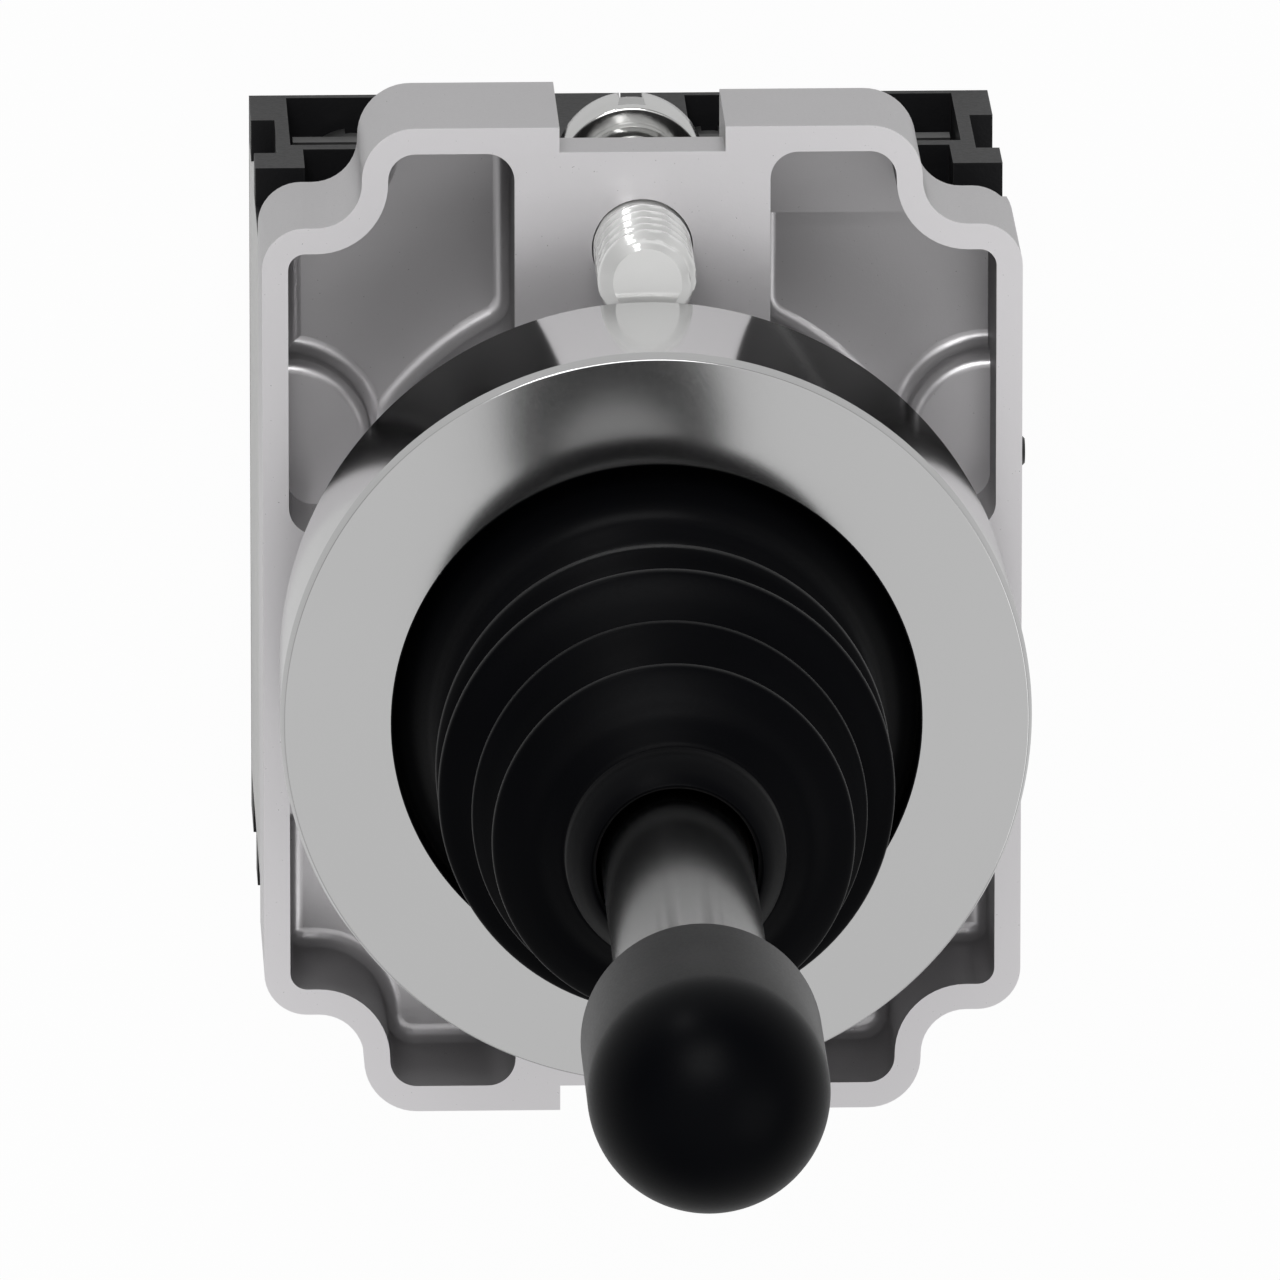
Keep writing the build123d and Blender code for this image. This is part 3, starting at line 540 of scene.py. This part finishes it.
# %% Rubber and plastics
boot_rubber = finish_of(
    "boot rubber", (0.0008, 0.0009, 0.0016), rough=0.46, ior=1.13, tone=(200, 0.7, 1.0),
    grain=(5000, 0.000004), sheen=0.06,
)
knob_plastic = finish_of(
    "knob plastic", (0.0006, 0.0008, 0.0016), rough=0.42, ior=1.13, tone=(150, 0.8, 1.0),
    grain=(6000, 0.000002), sheen=0.07,
)
block_plastic = finish_of(
    "block plastic", (0.009, 0.009, 0.01), rough=0.45, ior=1.25, tone=(120, 0.8, 1.0),
    grain=(3500, 0.000012), wear=(0.00015, 0.35), worn=(0.05, 0.05, 0.05),
)
cover_plastic = finish_of(
    "cover plastic", (0.02, 0.02, 0.021), rough=0.5, ior=1.35, grain=(3500, 0.00001)
)
seal_rubber = finish_of(
    "seal rubber", (0.008, 0.008, 0.008), rough=0.6, ior=1.3, grain=(3000, 0.00002)
)
pin_plastic = finish_of("pin plastic", (0.02, 0.02, 0.02), rough=0.4, ior=1.4)
pusher_plastic = finish_of("pusher plastic", (0.35, 0.34, 0.32), rough=0.4)
plunger_plastic = finish_of("plunger plastic", (0.45, 0.05, 0.04), rough=0.38)
label_film = finish_of(
    "label film", (0.85, 0.85, 0.84), rough=0.5, tone=(40, 0.95, 1.0), grain=(2500, 0.000006)
)
print("materials so far:", len(bpy.data.materials))


# %% [markdown]
# ## Painted shade in the pockets
#
# The collar's pockets get painted shade, standing in for the shade that falls in them, in
# the one finish of the collar: below the front face its colour is darkened, and more so
# towards the top of the collar. Two finishes on one mesh would need its faces sorted by
# hand, so the one finish asks for the height of each point instead. For rays that arrive by
# way of a mirror, all of the finish below the front face is darker still, a painted dark
# reflection, so that the chromed bezel mirrors these pockets almost black.


# %% Painted shade below a level
def paint_pocket_shade(material, level, shaded_from, shaded_to, direct, mirrored):
    """Paints shade into a finish below a level, deeper from one Y to another, and darker in
    mirrors.
    """
    tree = material.node_tree
    shader = next(node for node in tree.nodes if node.type == "BSDF_PRINCIPLED")
    base = shader.inputs["Base Color"].links[0].from_socket
    starts_at, whole_at = level - 0.02, level - 0.12
    where = add_node(tree, "TexCoord")
    axes = add_node(tree, "SeparateXYZ")
    below = add_node(tree, "MapRange", {"From Min": starts_at * mm, "From Max": whole_at * mm})
    towards_top = add_node(
        tree, "MapRange", {"From Min": shaded_from * mm, "From Max": shaded_to * mm}
    )
    towards_top.inputs["To Min"].default_value = 1.0
    towards_top.inputs["To Max"].default_value = direct
    rays = add_node(tree, "LightPath")
    depth = add_node(tree, "MapRange", {"To Max": mirrored})
    shade = add_node(tree, "MapRange", {"To Min": 1.0})
    # Painted shade: the base colour is multiplied by this darkening below the front face.
    dark = add_node(tree, "Mix", {"Factor": 1.0}, data_type="RGBA", blend_type="MULTIPLY")
    connect(
        tree,
        (where.outputs["Object"], axes.inputs[0]),
        (axes.outputs["Z"], below.inputs["Value"]),
        (axes.outputs["Y"], towards_top.inputs["Value"]),
        (towards_top.outputs[0], depth.inputs["To Min"]),
        (rays.outputs["Is Glossy Ray"], depth.inputs["Value"]),
        (below.outputs[0], shade.inputs["Value"]),
        (depth.outputs[0], shade.inputs["To Max"]),
        (base, dark.inputs["A"]),
        (shade.outputs[0], dark.inputs["B"]),
        (dark.outputs["Result"], shader.inputs["Base Color"]),
    )


# Painted shade in the collar's pockets, and a painted dark reflection of them in the bezel.
paint_pocket_shade(cast_zinc, collar_front, shaded_from=4.0, shaded_to=15.0, direct=0.69, mirrored=0.12)
print(f"painted pocket shade below {collar_front:.2f} mm")

# %% [markdown]
# ## Dressing the solids
#
# Most of the pieces have the right shape already, and only change their finish. A list of
# solids for each finish keeps that in one place, and the count at the end shows whether a
# solid was forgotten. Eight of them are covered by finer pieces further down.

# %% Which solid gets which finish
finishes = {
    cast_zinc: ["mounting_collar", "head_barrel"],
    bezel_chrome: ["bezel"],
    lever_chrome: ["lever_shaft"],
    bright_steel: ["clamp_screw"],
    # Painted shade: the terminal screws and clamps are darkened for the shade they sit in.
    zinc_plate_with_painted_shade: ["terminal_screws", "terminal_clamps"],
    ground_steel: ["gimbal_pins", "lever_pin", "retaining_clip", "guide_clip_ring"],
    # Painted shade: the strips' tin is darkened for the shade they sit in.
    tinned_brass_with_painted_shade: ["terminal_strips"],
    brass: ["gimbal_ring"],
    boot_rubber: ["boot"],
    knob_plastic: ["knob"],
    block_plastic: ["contact_block_left", "contact_block_right"],
    cover_plastic: ["block_cover_left", "block_cover_right", "actuator_cross"],
    seal_rubber: ["panel_gasket", "boot_clamp_ring"],
    pin_plastic: ["latch_pin", "pusher_guide"],
    label_film: ["side_label"],
    pusher_plastic: [f"pusher_{way}" for way in ways],
    plunger_plastic: [f"plunger_{way}" for way in ways],
}
finishes[brass] += [f"bridge_{way}" for way in ways]
finishes[ground_steel] += [f"contact_spring_{way}" for way in ways]


def give_finish(piece, material):
    """Gives one object one material, whatever it had."""
    piece.data.materials.clear()
    piece.data.materials.append(material)
    for polygon in piece.data.polygons:
        polygon.material_index = 0


for material, names in finishes.items():
    for name in names:
        give_finish(nodes[name], material)
print("finished", sum(len(names) for names in finishes.values()), "of", len(nodes))


# %% [markdown]
# ## Tubes through rings of points
#
# The bezel, the knob, the boot, the screw and the coils are all tubes: rings of points,
# one after the other, joined with quads. Modifiers could spin or sweep a curve into the
# same shapes, but writing the rings out gives an even mesh and full say over each point.
# Corners sharper than a set angle are marked sharp, so that the light breaks there and
# nowhere else. A *lathe* is the simplest tube: one profile, turned round the lever's axis.


# %% Tube
def tube(name, points, around, sharp, closed=False, capped=False):
    """An object through rings of points, each ring with the same number around."""
    rings = len(points) // around
    faces = []
    for ring in range(rings if closed else rings - 1):
        low, high = ring * around, (ring + 1) % rings * around
        for step in range(around):
            after = (step + 1) % around
            faces.append((low + step, low + after, high + after, high + step))
    if capped:
        faces.append(tuple(reversed(range(around))))
        faces.append(tuple(range((rings - 1) * around, rings * around)))
    mesh = bpy.data.meshes.new(name)
    mesh.from_pydata(points, [], faces)
    shape = bmesh.new()
    shape.from_mesh(mesh)
    bmesh.ops.remove_doubles(shape, verts=shape.verts, dist=1e-6)
    bmesh.ops.recalc_face_normals(shape, faces=shape.faces)
    shape.to_mesh(mesh)
    shape.free()
    mesh.polygons.foreach_set("use_smooth", [True] * len(mesh.polygons))
    mesh.set_sharp_from_angle(angle=math.radians(sharp))
    piece = bpy.data.objects.new(name, mesh)
    scene.collection.objects.link(piece)
    return piece


def lathe(name, profile, segments=160, closed=True, sharp=40):
    """Spins a profile of (radius, height) in mm round Z."""
    points = []
    for r, z in profile:
        for step in range(segments):
            angle = 2 * math.pi * step / segments
            points.append((r * math.cos(angle) * mm, r * math.sin(angle) * mm, z * mm))
    return tube(name, points, segments, sharp, closed)


# %% Rounded profiles
def corner(point, before, after, radius, steps=4):
    """Points of a rounded corner, for a profile of straight lines."""
    p, a, b = Vector(point), Vector(before), Vector(after)
    back, ahead = (a - p).normalized(), (b - p).normalized()
    half = back.angle(ahead) / 2
    start = p + back * radius / math.tan(half)
    middle = p + (back + ahead).normalized() * radius / math.sin(half)
    first = start - middle
    end = p + ahead * radius / math.tan(half) - middle
    sweep = first.angle_signed(end)
    arc = []
    for step in range(steps + 1):
        spin = Matrix.Rotation(-sweep * step / steps, 2)
        arc.append(tuple(middle + spin @ first))
    return arc


def rounded(points, radii):
    """A closed profile from corner points, each with its own radius (0 stays sharp)."""
    profile = []
    for index, (point, radius) in enumerate(zip(points, radii)):
        before = points[index - 1]
        after = points[(index + 1) % len(points)]
        profile += corner(point, before, after, radius) if radius else [point]
    return profile


# %% [markdown]
# ## The bezel
#
# A thick chromed ring with a flat face. On the real one the face is buffed to a satin
# that blurs the reflection of the knob, and a narrow bright chamfer runs round its edge.
# The solid has these faces already. The finer ring adds the tiny rounds at its corners,
# because a chromed corner is never dead sharp: the round is what catches the light.
# Smooth shading would bend the wide flat face towards those rounds, and a mirror shows it
# at once. A weighted normal modifier gives the large face its true, flat normal back.

# %% Bezel ring
rim_width, rim_height = 0.14, 0.65
rear_taper = 0.15
bezel_mouth_r = 10.27
bezel_lip = 2.1
barrel_clear_r = 11.05
flange_clear_r = 13.05
barrel_above_flange = 4.0
flange_front = barrel_front - barrel_above_flange
bezel_ring = lathe(
    "bezel_ring",
    rounded(
        [
            (flange_clear_r, bezel_rear),
            (bezel_r - rear_taper, bezel_rear),
            (bezel_r, bezel_front - rim_height),
            (bezel_r - rim_width, bezel_front),
            (bezel_mouth_r, bezel_front),
            (bezel_mouth_r, bezel_front - bezel_lip),
            (barrel_clear_r, bezel_front - bezel_lip),
            (barrel_clear_r, flange_front),
            (flange_clear_r, flange_front),
        ],
        [0, 0.12, 0.06, 0.06, 0.1, 0.1, 0, 0, 0],
    ),
    segments=256,
    sharp=30,
)
flatten = bezel_ring.modifiers.new("true flats", "WEIGHTED_NORMAL")
flatten.keep_sharp = True
give_finish(bezel_ring, bezel_chrome)
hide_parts("bezel")
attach(bezel_ring, "base")
print("bezel ring:", len(bezel_ring.data.polygons), "faces")

# %% [markdown]
# ## The knob
#
# A straight collar that runs into half a ball, moulded in black plastic. A worn mould
# would leave a hair-fine line where its two halves meet, but none shows here, so the shape
# stays plain and the finish carries it. The profile is a short list of corners, then a
# quarter circle up to the tip.

# %% Knob
knob_side = knob_tip - knob_r - knob_rear
knob_bore = 5.4
edge_round = 0.15
half_in, half_up = 0.04, 0.05
dome_steps = 28
profile = [
    (0.0, knob_rear + knob_bore),
    (lever_r, knob_rear + knob_bore),
    (lever_r, knob_rear),
    (knob_r - edge_round, knob_rear),
    (knob_r - half_in, knob_rear + half_up),
    (knob_r, knob_rear + edge_round),
]
for step in range(dome_steps + 1):
    angle = math.pi / 2 * step / dome_steps
    height = knob_rear + knob_side + knob_r * math.sin(angle)
    profile.append((max(knob_r * math.cos(angle), 0.0), height))
knob_ball = lathe("knob_ball", profile, segments=128, closed=False, sharp=50)
give_finish(knob_ball, knob_plastic)
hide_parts("knob")
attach(knob_ball, "lever")
print("knob:", len(knob_ball.data.polygons), "faces")

# %% [markdown]
# ## The rubber boot
#
# The boot seals the head while the lever tilts, so it is a bellows: a flange gripped
# under the bezel, a wide foot, four pleats, and a neck that hugs the lever. A smooth curve
# through the crest and the valley of each pleat gives its section. It crosses two joints,
# first the gimbal ring's and then the lever's, and a soft piece can bend across only one.
# So the boot is made as two tubes that share one ring of points, a lower half and an upper
# half.

# %% Boot outline
# Each point is (height above the bezel's face, radius)
boot_outline = [
    (-2.1, 10.2), (-1.7, 9.9), (-0.9, 9.45), (0.5, 9.0), (1.5, 8.75), (2.0, 8.55), (2.4, 8.25),
    (2.9, 7.9), (3.6, 7.75), (4.6, 7.8), (5.6, 8.1), (6.35, 8.6), (6.65, 8.77), (7.15, 8.8),
    (7.45, 8.64), (8.2, 8.0), (9.2, 7.7),
    (10.0, 8.0), (10.35, 8.58), (10.6, 8.77), (11.05, 8.8), (11.32, 8.58), (11.9, 7.7),
    (12.7, 6.8), (13.4, 6.75), (13.8, 7.33), (14.05, 7.57), (14.45, 7.6), (14.7, 7.4),
    (15.4, 6.7), (16.3, 6.0), (17.4, 6.0), (17.95, 6.66), (18.2, 6.9), (18.6, 6.95),
    (18.87, 6.76), (19.4, 6.0), (19.75, 5.3),
    (20.2, 4.75), (20.5, 4.4), (20.6, 4.25), (20.85, 4.22), (21.6, 4.15), (22.4, 3.75),
    (22.85, 3.4), (22.9, 3.25), (22.6, 3.1),
]
print("boot outline:", len(boot_outline), "points")


# %% Boot section
def smooth_curve(points, steps=6):
    """A curve through all the points, by the Catmull-Rom rule."""
    curve = []
    last = len(points) - 1
    for index in range(last):
        p0, p1 = Vector(points[max(index - 1, 0)]), Vector(points[index])
        p2, p3 = Vector(points[index + 1]), Vector(points[min(index + 2, last)])
        for step in range(steps):
            t = step / steps
            curve.append(
                0.5
                * (
                    2 * p1
                    + (p2 - p0) * t
                    + (2 * p0 - 5 * p1 + 4 * p2 - p3) * t**2
                    + (3 * p1 - p0 - 3 * p2 + p3) * t**3
                )
            )
    curve.append(Vector(points[-1]))
    return [(p.y, bezel_front + p.x) for p in curve]


meeting_height = 54.6
boot_section = smooth_curve(boot_outline)
meeting = min(
    range(len(boot_section)), key=lambda i: abs(boot_section[i][1] - meeting_height)
)
print(f"boot section: {len(boot_section)} points, halves meet at {boot_section[meeting][1]:.2f}")


def boot_half(name, section):
    """One tube of the boot, with its finish."""
    piece = lathe(name, section, segments=144, closed=False, sharp=75)
    give_finish(piece, boot_rubber)
    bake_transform(piece)
    return piece


lower_boot = boot_half(
    "boot_lower",
    boot_section[: meeting + 1],
)
upper_boot = boot_half(
    "boot_upper",
    boot_section[meeting:],
)
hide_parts("boot")
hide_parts("boot")
print("boot halves:", len(lower_boot.data.polygons), "and", len(upper_boot.data.polygons), "faces")

# %% [markdown]
# ## Cast fillets at the foot of the bosses
#
# A casting has no sharp inside corner: the metal would tear there as it shrinks. The solid
# has rounds on top of its bosses and along its ribs, and this strip adds the hollow round
# at the foot of each boss. Its section is swept along a quarter circle, and its back sinks
# a little into the solid, so that no gap shows. Both ends run into a wall.

# %% Fillet section
boss_r, boss_y = 3.4, 6.04
collar_wall = 1.03
boss_x = collar_side - collar_wall
floor_depth = 7.2
floor_level = collar_front - floor_depth
fillet_r = 0.6
sunk = 0.05


def fillet_section(steps=8):
    """Points (radius, height) round a hollow fillet between a boss and the floor."""
    foot = boss_r + fillet_r
    top = floor_level + fillet_r
    arc = []
    for step in range(steps + 1):
        angle = math.pi / 2 * step / steps
        arc.append((foot - fillet_r * math.cos(angle), top - fillet_r * math.sin(angle)))
    back = [(foot, floor_level - sunk), (boss_r - sunk, floor_level - sunk), (boss_r - sunk, top)]
    return arc + back


print(f"boss centres at {boss_x:.2f}, {boss_y:.2f} mm, floor at {floor_level:.2f} mm")

# %% Boss fillets
sweep_from, sweep_to, sweep_steps = -6, 97, 40


def boss_fillet(name, side, end):
    """A quarter ring of that section round one boss. side and end are 1 or -1."""
    section = fillet_section()
    points = []
    for step in range(sweep_steps + 1):
        angle = math.radians(sweep_from + (sweep_to - sweep_from) * step / sweep_steps)
        for r, z in section:
            x = side * (boss_x - r * math.cos(angle))
            y = end * (boss_y + r * math.sin(angle))
            points.append((x * mm, y * mm, z * mm))
    piece = tube(name, points, len(section), sharp=40, capped=True)
    give_finish(piece, cast_zinc)
    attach(piece, "base")
    return piece


for side, across in ((-1, "left"), (1, "right")):
    for end, along in ((-1, "lower"), (1, "upper")):
        boss_fillet(f"boss_fillet_{along}_{across}", side, end)
print("boss fillets: 4, of radius", fillet_r, "mm")

# %% [markdown]
# ## The clamp screw
#
# The screw pushes the collar off the back of the panel, so its thread stands out of the
# collar in plain view. A thread is a ring of points that climbs as it turns: the radius
# at each point depends on its height and on how far round it is. That is quicker than
# cutting a helix out of a cylinder, and gives clean quads. The head is turned on the lathe,
# and its slot is the one cut here, with a boolean modifier that is then made final.

# %% Thread profile
crest_r, root_r = 1.95, 1.62
half_root, flank = 0.08, 0.3


def thread_radius(turns):
    """Radius at a place in the pitch: a flat crest, a flat root and straight flanks."""
    phase = turns % 1.0
    slope = min(max((abs(phase - 0.5) - half_root) / flank, 0.0), 1.0)
    return root_r + (crest_r - root_r) * slope


print("thread:", round(crest_r - root_r, 2), "mm deep")

# %% Threaded shank
pitch = 1.09
tip_bevel = 0.6
head_height = 3.0
shank_rear = screw_rear + head_height


def threaded_rod(name, low, high, around=72, per_pitch=14):
    """A threaded rod with a bevelled tip, as one closed mesh."""
    rows = int((high - low) / pitch * per_pitch)
    points = []
    for row in range(rows + 1):
        z = low + (high - low) * row / rows
        limit = crest_r - max(0.0, z - (high - tip_bevel))
        for step in range(around):
            share = step / around
            r = min(thread_radius(z / pitch - share), limit)
            angle = 2 * math.pi * share
            x, y = r * math.cos(angle) * mm, screw_y * mm + r * math.sin(angle) * mm
            points.append((x, y, z * mm))
    return tube(name, points, around, sharp=28, capped=True)


screw_shank = threaded_rod("clamp_screw_shank", shank_rear, screw_front)
give_finish(screw_shank, pale_plate)
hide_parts("clamp_screw")
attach(screw_shank, "base")
print("shank:", round((screw_front - shank_rear) / pitch, 1), "turns of thread")

# %% Turned head
head_r, head_front = 3.0, shank_rear
recess_r, recess_floor_r, recess_depth = 2.2, 1.9, 0.25
screw_head = lathe(
    "clamp_screw_head",
    rounded(
        [
            (0.0, screw_rear),
            (head_r, screw_rear),
            (head_r, head_front),
            (recess_r, head_front),
            (recess_floor_r, head_front - recess_depth),
            (0.0, head_front - recess_depth),
        ],
        [0, 0.2, 0.12, 0.1, 0, 0],
    ),
    segments=96,
    closed=False,
    sharp=40,
)
screw_head.location.y = screw_y * mm
print("screw head:", len(screw_head.data.polygons), "faces before its slot")

# %% Slot in the head
slot_width, slot_depth, slot_length = 0.9, 1.1, 8
slot_size = Vector((slot_width, slot_length, 2 * slot_depth)) * mm
slot_mesh = bpy.data.meshes.new("slot")
slot_shape = bmesh.new()
bmesh.ops.create_cube(slot_shape, size=1)
for vertex in slot_shape.verts:
    vertex.co = Vector([place * size for place, size in zip(vertex.co, slot_size)])
slot_shape.to_mesh(slot_mesh)
slot_shape.free()
slot_tool = bpy.data.objects.new("slot", slot_mesh)
slot_tool.location = (0, screw_y * mm, screw_rear * mm)
scene.collection.objects.link(slot_tool)
cut = screw_head.modifiers.new("slot", "BOOLEAN")
cut.object = slot_tool
cut.operation = "DIFFERENCE"
cut.solver = "EXACT"
bpy.context.view_layer.update()
cut_head = screw_head.evaluated_get(bpy.context.evaluated_depsgraph_get())
cut_mesh = bpy.data.meshes.new_from_object(cut_head)
screw_head.modifiers.clear()
screw_head.data = cut_mesh
bpy.data.objects.remove(slot_tool)
give_finish(screw_head, bright_steel)
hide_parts("clamp_screw")
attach(screw_head, "base")
print("screw head:", len(screw_head.data.polygons), "faces with its slot")

# %% [markdown]
# ## Contact springs
#
# Each contact rests on a small coil spring whose rear end stands on the block's cover and
# whose front end carries the contact bridge. Nobody sees it while the switch is closed, but
# a rigid spring would stand through its plunger when the lever tilts. Each coil here is a
# round wire swept along a helix, in the box of its solid spring.

# %% Coils
spring_turns = 5
spring_wire = 0.4


def coil(name, node, per_turn=32, around=10):
    """A helix of round wire that fills a spring's box."""
    (left, right), (near, far), (low, high) = (span(node, axis) for axis in range(3))
    middle = Vector(((left + right) / 2, (near + far) / 2, low + spring_wire / 2))
    radius = (far - near - spring_wire) / 2
    rise = high - low - spring_wire
    steps = spring_turns * per_turn
    points = []
    for step in range(steps + 1):
        angle = 2 * math.pi * step / per_turn
        out = Vector((math.cos(angle), math.sin(angle), 0))
        spot = middle + out * radius + Vector((0, 0, rise * step / steps))
        for side in range(around):
            turn_angle = 2 * math.pi * side / around
            lift = Vector((0, 0, math.sin(turn_angle)))
            points.append((spot + (out * math.cos(turn_angle) + lift) * spring_wire / 2) * mm)
    return tube(name, points, around, sharp=60, capped=True)


for way in ways:
    spring = f"contact_spring_{way}"
    piece = coil(f"contact_coil_{way}", spring)
    give_finish(piece, ground_steel)
    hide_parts(spring)
    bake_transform(piece)

# %% [markdown]
# ## The two boxes
#
# The boxes of the solid part and of the dressed one are printed one after the other.

# %% Sizes
dressed_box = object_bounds()
sizes = {
    "cad": [list(cad_box[0]), list(cad_box[1])],
    "dressed": [list(dressed_box[0]), list(dressed_box[1])],
}
for label, (low, high) in sizes.items():
    print(label, [round((b - a) / mm, 2) for a, b in zip(low, high)])
